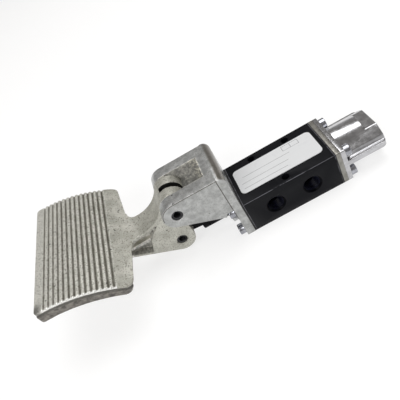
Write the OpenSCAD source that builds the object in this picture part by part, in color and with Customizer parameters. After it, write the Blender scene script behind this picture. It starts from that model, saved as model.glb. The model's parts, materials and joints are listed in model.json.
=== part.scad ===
// Foot pedal air valve: a spool valve with a pedal bracket on one end and a spring cap on the other.
// The origin is the centre of the body's mounting face. +X points to the spring cap, -Y to the two
// outlet ports, +Z up. Sizes are in millimetres.

/* [Valve body] */
// Length of the valve body along the spool
body_l = 70; // [66:1:90]
// Width of the valve body from port face to port face
body_w = 45; // [43:1:56]
// Height of the valve body from mounting face to label face
body_h = 28.6; // [27:0.2:36]
// Chamfer along the long edges of the body
body_edge = 0.6; // [0.2:0.1:1.5]
// Radius of the long bore that holds the seal stack
bore_r = 9.8; // [9.2:0.1:10.5]

/* [Ports] */
// Radius of the tapped part of an outlet or inlet port
port_r = 5.9; // [4.5:0.1:6.5]
// Radius of the chamfered mouth of an outlet or inlet port
port_mouth_r = 7.3; // [6.6:0.1:8]
// Depth of the tapped part of every port
port_depth = 10; // [7:0.5:11]
// Distance between the two outlet ports
port_spacing = 28.2; // [24:0.2:30]
// Radius of the tapped part of an exhaust port
exhaust_r = 4.4; // [3.5:0.1:5]
// Radius of the chamfered mouth of an exhaust port
exhaust_mouth_r = 5.4; // [5.1:0.1:6]
// Distance between the two exhaust ports
exhaust_spacing = 50; // [48:0.5:54]
// Radius of the drilling from a port to the bore
drill_r = 3.4; // [2:0.1:4]

/* [Mounting holes] */
// Radius of a mounting hole through the body
mount_r = 2.75; // [2.2:0.05:3.2]
// Distance between the two mounting holes along the inlet side
mount_spacing = 28; // [26:0.5:32]
// Distance of a mounting hole from the side face
mount_edge = 5.2; // [4.5:0.1:6]

/* [Label] */
// Length of the label
label_l = 63.2; // [50:0.2:65]
// Width of the label
label_w = 26.4; // [20:0.2:28]
// Thickness of the label
label_t = 0.3; // [0.2:0.05:0.6]
// Corner radius of the label
label_corner = 3.6; // [1:0.2:6]

/* [End screws] */
// Radius of the screw shank
screw_r = 2.4; // [1.8:0.1:2.6]
// Length of the screw in the body
screw_grip = 11; // [7:0.5:12]
// Radius of the screw head
head_r = 4.1; // [3.4:0.1:4.4]
// Height of the screw head
head_h = 4.4; // [3:0.1:5.5]
// Distance of a screw from the side face of the body
screw_edge_y = 4.3; // [4:0.1:5]
// Distance of a screw from the top or bottom face of the body
screw_edge_z = 4.8; // [4.4:0.1:5.4]
// Width across the flats of the hex socket
socket_w = 4; // [3:0.1:5]
// Depth of the hex socket
socket_depth = 2.6; // [1.5:0.1:3]

/* [Pedal bracket] */
// Thickness of the gasket between bracket and body
gasket_t = 1.2; // [0.6:0.1:2]
// Thickness of the bracket flange
flange_t = 6; // [5:0.2:9]
// Thickness of a fork arm
arm_t = 10.6; // [8:0.2:12]
// Step from the flange side to the outer face of a fork arm
arm_inset = 0.6; // [0.2:0.1:1.5]
// Radius of the round end of a fork arm
arm_r = 10.4; // [8:0.2:12]
// Drop of the arm's heel below the pocket for the screw head
heel_drop = 3; // [1:0.2:4]
// Radius of the rounded shoulder along the top of the flange
shoulder_r = 5.6; // [2:0.2:5.8]
// Thickness of the cross web between the fork arms
web_t = 6.3; // [4:0.1:9]
// Radius of the boss around the spool stem
boss_r = 12.8; // [12:0.1:13.5]
// Height of the boss over the flange
boss_h = 4.6; // [3:0.1:6]

/* [Pivot] */
// Distance of the pedal pivot from the end face of the body
pivot_back = 40.9; // [38:0.1:48]
// Height of the pedal pivot over the spool axis
pivot_up = 34.7; // [32:0.1:40]
// Radius of the pivot pin
pivot_r = 4; // [3:0.1:4.5]
// Wall of the rolled spring pins
pin_wall = 1.5; // [1:0.1:1.8]
// Slit of the rolled spring pins
pin_slit = 0.9; // [0.5:0.1:1.5]
// Depth of the pin ends below the faces that hold them
pin_recess = 0.8; // [0.2:0.1:2]

/* [Pedal tread] */
// Width of the tread
tread_w = 105; // [80:1:120]
// Length of the tread along its sides
tread_l = 63.9; // [56:0.1:72]
// Distance of the tread's near corners from the pivot
tread_back = 42.7; // [41:0.1:46]
// How far the near edge comes towards the pivot from its corners to the mid-plane
shoulder_rise = 4.6; // [3:0.1:6]
// Radius of the tread's crown
tread_r = 94; // [88:1:110]
// Height of the top of the crown over the pivot
crown_up = 11.6; // [10:0.1:14]
// Distance of the top of the crown from the pivot
crown_back = 100.1; // [98:0.1:104]
// Thickness of the deck
deck_t = 5; // [4:0.1:7]
// Depth of the skirt round the tread
skirt_h = 9; // [7:0.1:11]
// Thickness of the skirt
skirt_t = 3.5; // [2.5:0.1:5]
// Step from the grooved deck out to the lower rim of the skirt
rim_step = 0.8; // [0.3:0.1:1.5]
// Depth of the deck edge above that step
rim_drop = 3.4; // [2.5:0.1:5]
// Radius of the tread's far corners
far_corner = 3.5; // [2:0.1:6]
// Radius of the tread's near corners
near_corner = 6.5; // [4:0.1:8]
// Number of grooves in the tread
groove_n = 14; // [8:1:14]
// Distance between grooves along the crown
groove_pitch = 3.61; // [3.2:0.01:3.7]
// Distance of the first groove from the top of the crown
groove_lead = 1.7; // [0:0.1:3]
// Radius of a groove
groove_r = 1; // [0.6:0.05:1.3]
// Thickness of the stiffening ribs under the tread
rib_t = 3; // [2:0.1:5]
// Distance of a stiffening rib from the middle of the tread
rib_y = 30; // [24:0.5:34]

/* [Pedal lever] */
// Drop of the neck below the pivot
neck_drop = 8.7; // [7:0.1:10]
// Radius in plan between neck and tread
neck_fillet = 7; // [5:0.5:9]
// Thickness of the neck's edge
neck_t = 2.6; // [2:0.1:4]
// Radius in side view between neck and hub
hub_blend = 25; // [15:0.5:28]
// Radius in side view between neck and tread
tread_blend = 32; // [26:0.5:34]
// Distance of the link pin behind the pivot
link_pin_back = 10.2; // [8:0.1:12]
// Distance of the link pin below the pivot
link_pin_drop = 32.2; // [30:0.1:34]
// Radius of the link pin
link_pin_r = 4; // [3:0.1:4.5]
// Radius of the lever's toe around the link pin
toe_r = 10.2; // [9:0.1:11]
// Slope of the lever's belly
belly_angle = 27; // [25:0.1:28]
// Thickness of the lever's web beside the pockets
lever_web = 9; // [6:0.2:12]
// Thickness of the rim along the belly
belly_rim = 2.2; // [1.8:0.1:4]
// Half width of the rib across the pockets
rib_half = 8; // [6:0.1:9]
// Distance of a cheek's rear edge from the pivot, at the neck
cheek_back = 18.9; // [17:0.1:21]
// Distance of the knee in a cheek's rear edge from the pivot
knee_back = 28.8; // [26:0.1:31]
// Distance of that knee below the pivot
knee_drop = 18.3; // [16:0.1:20]
// Distance of a cheek's rear edge from the pivot, at the belly
foot_back = 34.2; // [32:0.1:37]
// Thickness of the rib that runs from the knee to the tread
knee_rib_t = 3; // [2:0.1:4]
// Distance of the slot's back wall from the line between pivot and link pin
slot_back = 7; // [6.7:0.1:8]

/* [Link and spool] */
// Thickness of the link
link_t = 4; // [3:0.1:5]
// Radius of the link's end on the pedal
link_end_r = 6.3; // [5.8:0.1:6.5]
// Height of the link between its ends
link_h = 8.8; // [7:0.1:9]
// Radius of the link's end in the stem
link_fork_r = 5.4; // [4.6:0.1:6]
// Radius of the clevis pin
clevis_r = 2.5; // [2:0.1:3]
// Distance of the clevis pin from the end of the stem
clevis_edge = 7; // [6:0.1:9]
// Radius of the spool stem
stem_r = 6.75; // [6.4:0.05:7]
// Reach of the stem out of the body
stem_reach = 33.5; // [32:0.1:36]
// Radius of the spool's lands
land_r = 7.5; // [7.2:0.05:7.8]
// Radius of the spool between its lands
waist_r = 4.5; // [3:0.1:5.5]
// Length of each of the spool's two waists
waist_l = 12.5; // [11:0.1:13.5]
// Distance of each waist's middle from its outlet port, towards the pedal
waist_lead = 1.65; // [1:0.05:2.5]
// Wall of the cage rings, and of the seals
cage_wall = 2; // [1.5:0.1:2.2]
// Width of a seal between two ports
seal_w = 3; // [2:0.1:4]
// Width of the seal at each end of the bore
end_seal_w = 4.5; // [3:0.1:4.8]

/* [Spring cap] */
// Thickness of the cap gasket
cap_gasket_t = 0.5; // [0.3:0.1:1]
// Thickness of the spacer plate
spacer_t = 3.3; // [2.5:0.1:5]
// Thickness of the cap flange
cap_flange_t = 3.4; // [2.5:0.1:5]
// Length of the cap beyond its flange
cap_l = 29.8; // [27:0.2:36]
// Length of the cap's flat end block
cap_block_l = 9; // [6:0.2:10]
// Radius of the cap's barrel
barrel_r = 13.8; // [13:0.1:14]
// Width of the flank between flat and fold, seen along the cap
flank_w = 7.2; // [6.4:0.1:8]
// Height of the flat on the end block over the spool axis
block_up = 10; // [9:0.1:10.5]
// Distance of the fold between flank and wing from the screws, towards the mid-plane
fold_inset = 1.4; // [1:0.1:2]
// Height of that fold over the spool axis
fold_up = 5; // [4.6:0.1:5.2]
// Step from the flange side to the end of a wing
wing_inset = 1.1; // [0.5:0.1:2]
// Half thickness of a wing
wing_up = 2.2; // [1.5:0.1:3]
// Corner radius of the wings at the end of the cap
wing_corner = 4; // [1:0.2:5]
// Radius of the spring chamber
chamber_r = 10.2; // [9.9:0.1:10.4]
// Thickness of the wall behind the spring
cap_wall = 9.5; // [9.2:0.1:12]

/* [Return spring] */
// Radius of the coil's centre line
coil_r = 8.1; // [7.9:0.1:8.4]
// Diameter of the wire
wire_d = 1.6; // [1.2:0.1:1.7]
// Number of open turns
coil_turns = 5; // [4:1:6]
// Radius of the spring seat's flange
seat_r = 9.5; // [9.2:0.1:9.7]
// Thickness of the spring seat's flange
seat_t = 2; // [1.5:0.1:3]
// Height of the spring seat's spigot
spigot_h = 2.5; // [1.5:0.1:3]
// Radius of the seat screw's shank
seat_screw_r = 1.9; // [1.5:0.1:2.4]
// Length of the seat screw in the spool
seat_grip = 10; // [7:0.5:12]
// Radius of the seat screw's head
seat_head_r = 3.5; // [3:0.1:4.2]
// Height of the seat screw's head
seat_head_h = 2.8; // [2.2:0.1:3.4]
// Width across the flats of the seat screw's socket
seat_socket_w = 3; // [2:0.1:3.6]
// Depth of the seat screw's socket
seat_socket_depth = 1.4; // [1:0.1:1.8]

/* [Hidden] */
$fn = 64;
eps = 0.01;
// Clearances: a shaft that turns or slides, a pin held in its hole, parts that pass each other
run_gap = 0.05;
hold_gap = 0.03;
side_gap = 0.3;
thread_gap = 0.05;
hole_gap = 0.3;
open_pivot_gap = 0.25;
link_gap = 0.2;
coil_gap = 0.1;
chamfer_drop = 1.2;
// Curves that blend cross by this much, and don't just touch
blend_dip = 0.05;

axis_z = body_h / 2;
x_pedal = -body_l / 2;
x_cap = body_l / 2;
screw_y = body_w / 2 - screw_edge_y;
screw_z = body_h / 2 - screw_edge_z;
x_flange = -gasket_t - flange_t;
bracket_top = pivot_up + arm_r;
pocket_up = screw_z + head_r + side_gap;
fork_half = body_w / 2 - arm_inset - arm_t;
hub_half = fork_half - side_gap;
wiper_w = boss_h / 3;
wiper_r = stem_r + cage_wall;
x_spacer = cap_gasket_t;
x_cap_flange = x_spacer + spacer_t;
x_cap_body = x_cap_flange + cap_flange_t;
x_cap_end = x_cap_body + cap_l;
x_chamber_end = x_cap_end - cap_wall;
fold_y = screw_y - fold_inset;
block_flat = fold_y - flank_w;
wing_y = body_w / 2 - wing_inset;
tread_far = tread_back + tread_l;
shoulder_angle = atan2(shoulder_rise, tread_w / 2);
crown_center = [-crown_back, crown_up - tread_r];
near_angle = asin((crown_back - tread_back) / tread_r);
link_pin = [-link_pin_back, -link_pin_drop];
lever_len = norm(link_pin);
lever_tilt = atan2(link_pin_back, link_pin_drop);
link_start = [-pivot_back - link_pin_back, pivot_up - link_pin_drop];
link_end = [-stem_reach + clevis_edge, 0];
link_len = norm(link_end - link_start);
link_tilt = atan2(link_end[1] - link_start[1], link_end[0] - link_start[0]);
slot_half = link_t / 2 + link_gap;
cage_in_r = bore_r - cage_wall;
seal_in_r = land_r + run_gap;
port_x = [-exhaust_spacing / 2, -port_spacing / 2, 0, port_spacing / 2, exhaust_spacing / 2];
seal_mid = [for (i = [0:3]) (port_x[i] + port_x[i + 1]) / 2];
seat_x = x_cap + x_cap_flange + side_gap;
spring_x0 = seat_x + seat_t;
spring_x1 = x_cap + x_chamber_end;

// Shapes that repeat

// Cylinder along X from x0 to x1
module x_rod(r, x0, x1) {
    translate([x0, 0, 0]) rotate([0, 90, 0]) cylinder(r = r, h = x1 - x0);
}

// Cylinder along Y, centred on the mid-plane, at a place in the side view
module y_rod(r, h, at) {
    translate([at[0], h / 2, at[1]]) rotate([90, 0, 0]) cylinder(r = r, h = h);
}

// Side view outline, drawn in X and Z, as a slab between two places across the part
module slab(y0, y1) {
    translate([0, y1, 0]) rotate([90, 0, 0]) linear_extrude(y1 - y0) children();
}

// Ring along X
module x_ring(r_out, r_in, x0, x1) {
    difference() {
        x_rod(r_out, x0, x1);
        x_rod(r_in, x0 - 1, x1 + 1);
    }
}

// Rectangle with four round corners, from one corner to the opposite one
module round_rect(a, b, r) {
    translate([a[0] + r, a[1]]) square([b[0] - a[0] - 2 * r, b[1] - a[1]]);
    translate([a[0], a[1] + r]) square([b[0] - a[0], b[1] - a[1] - 2 * r]);
    for (x = [a[0] + r, b[0] - r], y = [a[1] + r, b[1] - r]) translate([x, y]) circle(r);
}

// Children at the four end screws, seen along X
module at_screws() {
    for (y = [-screw_y, screw_y], z = [-screw_z, screw_z]) translate([0, y, z]) children();
}

// Point where a line from p touches a circle, on the side picked by turn
function tangent_point(c, r, p, turn) =
    let (v = p - c, a = atan2(v[1], v[0]) + turn * acos(r / norm(v)))
    c + r * [cos(a), sin(a)];

// Socket head screw with its head's seat at x0, pointing along -X or +X by dir
module socket_screw(x0, dir, shank) {
    difference() {
        union() {
            x_rod(head_r, dir > 0 ? x0 - head_h : x0, dir > 0 ? x0 : x0 + head_h);
            x_rod(screw_r, dir > 0 ? x0 - eps : x0 - shank, dir > 0 ? x0 + shank : x0 + eps);
        }
        translate([dir > 0 ? x0 - head_h - 1 : x0 + head_h - socket_depth, 0, 0]) rotate([0, 90, 0])
            cylinder(d = socket_w / cos(30), h = socket_depth + 1, $fn = 6);
    }
}

// Hollow spring pin along Y with its slit
module roll_pin(r, h, at) {
    difference() {
        y_rod(r, h, at);
        y_rod(r - pin_wall, h + 2, at);
        translate([at[0] - pin_slit / 2, -h / 2 - 1, at[1]]) cube([pin_slit, h + 2, r + 1]);
    }
}

// Ring of points round the wire at a turn of the coil
function coil_ring(turn, x, sides) = [for (k = [0:sides - 1])
    let (a = 360 * k / sides, r = coil_r + wire_d / 2 * cos(a))
    [x + wire_d / 2 * sin(a), r * cos(360 * turn), r * sin(360 * turn)]];

// Place along the spring: a closed turn at each end, open turns between
function coil_x(turn, turns, x0, x1) =
    let (pitch = wire_d + coil_gap, open = (x1 - x0 - wire_d - 2 * pitch) / (turns - 2))
    x0 + wire_d / 2 + (turn < 1 ? turn * pitch
        : turn > turns - 1 ? pitch + (turns - 2) * open + (turn - turns + 1) * pitch
        : pitch + (turn - 1) * open);

// Body and what is fixed to it

module valve_body() {
    color("#1b1d22") translate([0, 0, axis_z]) difference() {
        rotate([90, 0, 90]) translate([0, 0, x_pedal]) linear_extrude(body_l) body_section();
        x_rod(bore_r, x_pedal - 1, x_cap + 1);
        for (x = [-port_spacing / 2, port_spacing / 2])
            translate([x, 0, 0]) port_cut(port_r, port_mouth_r);
        rotate([0, 0, 180]) port_cut(port_r, port_mouth_r);
        for (x = [-exhaust_spacing / 2, exhaust_spacing / 2])
            translate([x, 0, 0]) rotate([0, 0, 180]) port_cut(exhaust_r, exhaust_mouth_r);
        for (at = mount_places()) translate([at[0], at[1], -body_h]) cylinder(r = mount_r, h = 2 * body_h);
        at_screws() {
            x_rod(screw_r + thread_gap, x_pedal - 1, x_pedal + screw_grip + 1);
            x_rod(screw_r + thread_gap, x_cap - screw_grip - 1, x_cap + 1);
        }
    }
}

// Outline of the body seen along X, with its long edges broken
module body_section() {
    w = body_w / 2;
    h = body_h / 2;
    e = body_edge;
    polygon([[e - w, -h], [w - e, -h], [w, e - h], [w, h - e], [w - e, h], [e - w, h], [-w, h - e],
        [-w, e - h]]);
}

// Two holes on the inlet side and one between the outlet ports
function mount_places() =
    let (y = body_w / 2 - mount_edge)
    [[-mount_spacing / 2, y], [mount_spacing / 2, y], [0, -y]];

// Tapped port in the -Y face with its mouth and the drilling to the bore
module port_cut(r, mouth_r) {
    translate([0, -body_w / 2, 0]) rotate([-90, 0, 0]) {
        translate([0, 0, -1]) cylinder(r = r, h = port_depth + 1);
        cylinder(r1 = mouth_r, r2 = r, h = chamfer_drop);
        translate([0, 0, -1]) cylinder(r = mouth_r, h = 1);
        cylinder(r = drill_r, h = body_w / 2);
    }
}

module label_plate() {
    color("#e9eaec") translate([0, 0, body_h]) linear_extrude(label_t)
        round_rect([-label_l / 2, -label_w / 2], [label_l / 2, label_w / 2], label_corner);
}

// Plate with the body's end outline, its middle hole and its four screw holes
module end_plate(x0, x1, hole_r) {
    difference() {
        rotate([90, 0, 90]) translate([0, 0, x0]) linear_extrude(x1 - x0) body_section();
        x_rod(hole_r, x0 - 1, x1 + 1);
        at_screws() x_rod(screw_r + hole_gap, x0 - 1, x1 + 1);
    }
}

module bracket_gasket() {
    color("#101012") translate([x_pedal, 0, axis_z]) end_plate(-gasket_t, 0, bore_r);
}

module pedal_bracket() {
    color("#b9b7ae") translate([x_pedal, 0, axis_z]) difference() {
        union() {
            translate([x_flange, -body_w / 2, -body_h / 2])
                cube([flange_t, body_w, body_h / 2 + bracket_top]);
            for (s = [-1, 1]) translate([0, s * (fork_half + arm_t / 2), 0])
                slab(-arm_t / 2, arm_t / 2) arm_outline();
            translate([x_flange - web_t, -fork_half - 1, pocket_up])
                cube([web_t + flange_t / 2, 2 * fork_half + 2, bracket_top - pocket_up]);
            x_rod(boss_r, x_flange - boss_h, x_flange + flange_t / 2);
        }
        slab(-body_w, body_w) shoulder_cut();
        x_rod(bore_r, x_flange - boss_h + wiper_w, 1);
        x_rod(wiper_r, x_flange - boss_h - 1, 1);
        at_screws() x_rod(screw_r + hole_gap, x_flange - 1, 1);
        y_rod(pivot_r + hold_gap, body_w + 2, [-pivot_back, pivot_up]);
    }
}

// What rounds over the top of the flange, in the side view
module shoulder_cut() {
    translate([-gasket_t - shoulder_r, bracket_top - shoulder_r]) difference() {
        square(shoulder_r + 1);
        circle(shoulder_r);
    }
}

// Side view of a fork arm: flat top, round end at the pivot, sloping underside, pocket for the screw head
module arm_outline() {
    pivot = [-pivot_back, pivot_up];
    pocket_x = x_flange - head_h - side_gap;
    heel = [pocket_x - heel_drop / 2, pocket_up - heel_drop];
    root_x = x_flange + flange_t / 2;
    polygon([[root_x, bracket_top], [-pivot_back, bracket_top], pivot,
        tangent_point(pivot, arm_r - blend_dip, heel, -1), heel, [pocket_x, pocket_up], [root_x, pocket_up]]);
    translate(pivot) circle(arm_r);
}

module bracket_screws() {
    color("#c9cbd0") translate([x_pedal, 0, axis_z]) at_screws()
        socket_screw(x_flange, 1, screw_grip - x_flange);
}

// Bush that carries the stem and closes the bore
module stem_guide() {
    color("#b08d4f") translate([x_pedal, 0, axis_z])
        x_ring(bore_r - hold_gap, stem_r + run_gap, x_flange - boss_h + wiper_w, 0);
}

module stem_wiper() {
    color("#16161a") translate([x_pedal, 0, axis_z])
        x_ring(wiper_r - hold_gap, stem_r + run_gap, x_flange - boss_h, x_flange - boss_h + wiper_w);
}

module pivot_pin() {
    color("#3a3b3d") translate([x_pedal, 0, axis_z])
        roll_pin(pivot_r, body_w - 2 * arm_inset - 2 * pin_recess, [-pivot_back, pivot_up]);
}

// Pedal: one casting, drawn round its pivot

module pedal() {
    color("#bdbcb2") translate([x_pedal - pivot_back, 0, axis_z + pivot_up]) difference() {
        union() {
            tread();
            neck();
            lever();
        }
        y_rod(pivot_r + run_gap, 2 * hub_half + 2, [0, 0]);
        y_rod(link_pin_r + hold_gap, 2 * hub_half + 2, link_pin);
        link_slot();
        grooves();
    }
}

// Side view of everything below the top of the tread, neck and hub
module under_top() {
    neck_z = -neck_drop;
    blend_z = neck_z + tread_blend;
    blend_x = crown_center[0] + sqrt(pow(tread_r + tread_blend, 2) - pow(blend_z - crown_center[1], 2));
    foot_x = crown_center[0] + sqrt(pow(tread_r, 2) - pow(neck_z - crown_center[1], 2));
    touch = crown_center + ([blend_x, blend_z] - crown_center) * tread_r / (tread_r + tread_blend);
    hub_z = neck_z + hub_blend;
    hub_x = -sqrt(pow(arm_r + hub_blend, 2) - pow(hub_z, 2));
    translate(crown_center) circle(tread_r, $fn = 4 * $fn);
    translate([foot_x - 1, neck_z - tread_r]) square([1 - foot_x, tread_r]);
    difference() {
        polygon([touch, [blend_x, neck_z], [foot_x, neck_z - 1], touch - [1, 1]]);
        translate([blend_x, blend_z]) circle(tread_blend + blend_dip);
    }
    difference() {
        polygon([[hub_x, neck_z], [hub_x, neck_z - 1], [0, neck_z - 1], [0, 0],
            [hub_x, hub_z] * arm_r / (arm_r + hub_blend)]);
        translate([hub_x, hub_z]) circle(hub_blend + blend_dip);
    }
    circle(arm_r);
}

// Side view of a layer of the casting of an even depth under the top
module under_top_layer(depth) {
    difference() {
        under_top();
        translate([0, -depth]) under_top();
    }
}

// Wedge of the side view that cuts the far edge square to the crown
module tread_wedge() {
    reach = 2 * tread_r;
    far = asin((crown_back - tread_far) / tread_r);
    translate(crown_center) polygon([[0, 0], reach * [sin(far), cos(far)], [reach, reach], [reach, 0]]);
}

// Tread seen from above, drawn in by a margin, with its far corners rounded
module far_plan(margin) {
    w = tread_w / 2 - margin;
    r = far_corner - margin;
    x = margin + r - tread_far;
    half = [[x - r + blend_dip, w - r], [x, w - blend_dip], [0, w - blend_dip]];
    mirrored_outline(half);
    for (y = [r - w, w - r]) translate([x, y]) circle(r);
}

// Tread seen square to the crown at its near edge, which slopes from the neck back to round corners
module near_plan(margin) {
    w = tread_w / 2 - margin;
    r = near_corner - margin;
    slope = [cos(shoulder_angle), sin(shoulder_angle)];
    x = -margin - r * (1 - slope[1]) / slope[0];
    corner = [x, w - r] + (r - blend_dip) * slope;
    tip = [corner[0] + corner[1] * slope[1] / slope[0], 0];
    mirrored_outline([[-2 * tread_l, tread_w], [x, tread_w], [x, w - r], corner, tip]);
    for (y = [r - w, w - r]) translate([x, y]) circle(r);
}

// Outline from the points on one side of the mid-plane
module mirrored_outline(half) {
    polygon(concat(half, [for (i = [len(half) - 1:-1:0]) if (half[i][1] != 0) [half[i][0], -half[i][1]]]));
}

// Block with the tread's outline, drawn in by a margin
module tread_block(margin) {
    intersection() {
        translate([0, 0, -tread_r]) linear_extrude(2 * tread_r) far_plan(margin);
        translate([crown_center[0], 0, crown_center[1]]) rotate([0, near_angle, 0])
            linear_extrude(2 * tread_r) near_plan(margin);
    }
}

// Grooved deck with a skirt round three sides and two ribs below
module tread() {
    intersection() {
        slab(-tread_w, tread_w) intersection() {
            under_top_layer(skirt_h);
            tread_wedge();
        }
        union() {
            intersection() {
                tread_block(rim_step);
                slab(-tread_w, tread_w) under_top_layer(deck_t);
            }
            difference() {
                tread_block(0);
                translate([-tread_far + skirt_t, skirt_t - tread_w / 2, -tread_r])
                    cube([tread_far, tread_w - 2 * skirt_t, 2 * tread_r]);
                rim_relief();
            }
            intersection() {
                tread_block(skirt_t / 2);
                for (s = [-1, 1]) translate([-tread_far, s * rib_y - rib_t / 2, -tread_r])
                    cube([tread_far, rib_t, 2 * tread_r]);
            }
        }
    }
}

// What is cut off outside the deck's edge above the lower rim
module rim_relief() {
    difference() {
        slab(-tread_w, tread_w) difference() {
            translate([-2 * tread_far, -tread_r]) square([3 * tread_far, 3 * tread_r]);
            translate([0, -rim_drop]) under_top();
        }
        tread_block(rim_step);
    }
}

// Place of the deck's near edge, at a distance off the mid-plane and a height
function near_x(y, z) = crown_center[0] + (shoulder_rise * (1 - 2 * y / tread_w) - rim_step
    + (z - crown_center[1]) * sin(near_angle)) / cos(near_angle);

// Neck that flares into the tread
module neck() {
    flare_w = hub_half + neck_fillet;
    flare_x = near_x(flare_w, neck_t / 2 - neck_drop) + neck_fillet;
    root = -tread_back - deck_t;
    intersection() {
        slab(-tread_w, tread_w) under_top_layer(neck_t);
        translate([0, 0, -tread_r]) linear_extrude(2 * tread_r) {
            translate([root, -hub_half]) square([-root, 2 * hub_half]);
            for (s = [-1, 1]) scale([1, s]) difference() {
                translate([root, 0]) square([flare_x - root, flare_w]);
                translate([flare_x, flare_w]) circle(neck_fillet + blend_dip);
            }
        }
    }
}

// Hub, cheeks, web and rim along the belly, with pockets beside the web
module lever() {
    difference() {
        slab(-hub_half, hub_half) intersection() {
            under_top();
            lever_outline();
        }
        beyond(rib_half) pocket_outline(neck_t);
        beyond(lever_web / 2) difference() {
            pocket_outline(deck_t);
            translate([-tread_far, -knee_drop - knee_rib_t]) square([tread_far, knee_rib_t]);
        }
    }
}

// Side view outline as a slab on each side, from a distance off the mid-plane outwards
module beyond(y) {
    for (s = [-1, 1]) translate([0, s * (y + hub_half), 0]) slab(-hub_half, hub_half) children();
}

// Unit vectors along the belly, away from the toe, and square to it, up into the casting
function belly_dir() = [-cos(belly_angle), sin(belly_angle)];
function belly_up() = [sin(belly_angle), cos(belly_angle)];

// Side view of the lever: hub, toe round the link pin, straight belly up to the far skirt
module lever_outline() {
    flare = asin((arm_r - toe_r) / lever_len);
    side = [cos(lever_tilt + flare), -sin(lever_tilt + flare)];
    heel = belly_start(-blend_dip);
    tail = belly_end(heel);
    polygon([(arm_r - blend_dip) * side, link_pin + (toe_r - blend_dip) * side, link_pin, heel, tail,
        tail + [0, tread_r], [0, arm_r], [0, 0]]);
    translate(link_pin) circle(toe_r);
    circle(arm_r);
}

// Start of the belly below the link pin, moved out of the casting, and its end in the far skirt
function belly_start(out) = link_pin - (toe_r + out) * belly_up();
function belly_end(start) =
    start + (start[0] + tread_far - skirt_t / 2) / cos(belly_angle) * belly_dir();

// Side view of a pocket: behind a cheek's rear edge, over the rim, below a layer under the top
module pocket_outline(depth) {
    heel = belly_start(-belly_rim);
    tail = belly_end(heel);
    intersection() {
        translate([0, -depth]) under_top();
        polygon([[-cheek_back, tread_r], [-cheek_back, -neck_drop], [-knee_back, -knee_drop],
            [-foot_back, -link_pin_drop], [-tread_far, -link_pin_drop], [-tread_far, tread_r]]);
        polygon([heel, tail, tail + [0, tread_r], heel + [0, tread_r]]);
    }
}

// Slot between the two cheeks, open towards the valve
module link_slot() {
    rotate([0, lever_tilt, 0]) translate([-slot_back, -slot_half, -2 * lever_len])
        cube([3 * arm_r, 2 * slot_half, 3 * lever_len]);
}

// Grooves across the tread, set round the crown
module grooves() {
    for (i = [0:groove_n - 1]) {
        a = (groove_lead + i * groove_pitch) / tread_r * 180 / PI;
        y_rod(groove_r, tread_w + 2, crown_center + tread_r * [sin(a), cos(a)]);
    }
}

module link_pin_roll() {
    color("#2c2d2f") translate([x_pedal, 0, axis_z])
        roll_pin(link_pin_r, 2 * hub_half - 2 * pin_recess, link_start);
}

// Link between pedal and stem

module link_bar() {
    color("#17181b") translate([x_pedal + link_start[0], 0, axis_z + link_start[1]])
        rotate([0, -link_tilt, 0]) difference() {
            slab(-link_t / 2, link_t / 2) link_outline();
            y_rod(link_pin_r + run_gap, link_t + 2, [0, 0]);
            y_rod(clevis_r + open_pivot_gap, link_t + 2, [link_len, 0]);
        }
}

// Side view of the link: two round ends on a straight bar
module link_outline() {
    circle(link_end_r);
    translate([link_len, 0]) circle(link_fork_r);
    translate([0, -link_h / 2]) square([link_len, link_h]);
}

module clevis_pin() {
    color("#8d8f94") translate([x_pedal, 0, axis_z]) y_rod(clevis_r, 2 * (stem_r - pin_recess), link_end);
}

// Spool and seal stack

module spool() {
    stop_x = x_pedal + side_gap;
    waist = [for (s = [-1, 1]) s * port_spacing / 2 - waist_lead];
    color("#17181b") translate([0, 0, axis_z]) difference() {
        union() {
            x_rod(stem_r, x_pedal - stem_reach, stop_x + 1);
            x_rod(land_r, stop_x, waist[0] - waist_l / 2);
            x_rod(waist_r, stop_x, seat_x);
            x_rod(land_r, waist[0] + waist_l / 2, waist[1] - waist_l / 2);
            x_rod(land_r, waist[1] + waist_l / 2, seat_x);
        }
        translate([x_pedal - stem_reach - 1, -slot_half, -stem_r - 1])
            cube([clevis_edge + link_end_r + link_fork_r + 1, 2 * slot_half, 2 * stem_r + 2]);
        translate([x_pedal, 0, 0]) y_rod(clevis_r + hold_gap, 4 * stem_r, link_end);
        x_rod(seat_screw_r + thread_gap, seat_x - seat_grip - 1, seat_x + 1);
    }
}

// Rings with cross holes that keep the seals apart at each port
module cage_rings() {
    edges = concat([x_pedal + end_seal_w], [for (x = seal_mid) each [x - seal_w / 2, x + seal_w / 2]],
        [x_cap - end_seal_w]);
    color("#c2b280") translate([0, 0, axis_z]) for (i = [0:4]) difference() {
        x_ring(bore_r - hold_gap, cage_in_r, edges[2 * i], edges[2 * i + 1]);
        for (a = [0, 90]) translate([port_x[i], 0, 0]) rotate([a, 0, 0])
            cylinder(r = drill_r, h = 3 * bore_r, center = true);
    }
}

module bore_seals() {
    color("#1a1a1c") translate([0, 0, axis_z]) {
        for (x = seal_mid) x_ring(bore_r - hold_gap, seal_in_r, x - seal_w / 2, x + seal_w / 2);
        x_ring(bore_r - hold_gap, seal_in_r, x_pedal, x_pedal + end_seal_w);
        x_ring(bore_r - hold_gap, seal_in_r, x_cap - end_seal_w, x_cap);
    }
}

// Spring end

module cap_gasket() {
    color("#141416") translate([x_cap, 0, axis_z]) end_plate(0, cap_gasket_t, bore_r);
}

module spacer_plate() {
    color("#b4b3ad") translate([x_cap, 0, axis_z]) end_plate(x_spacer, x_cap_flange, land_r + side_gap);
}

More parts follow.
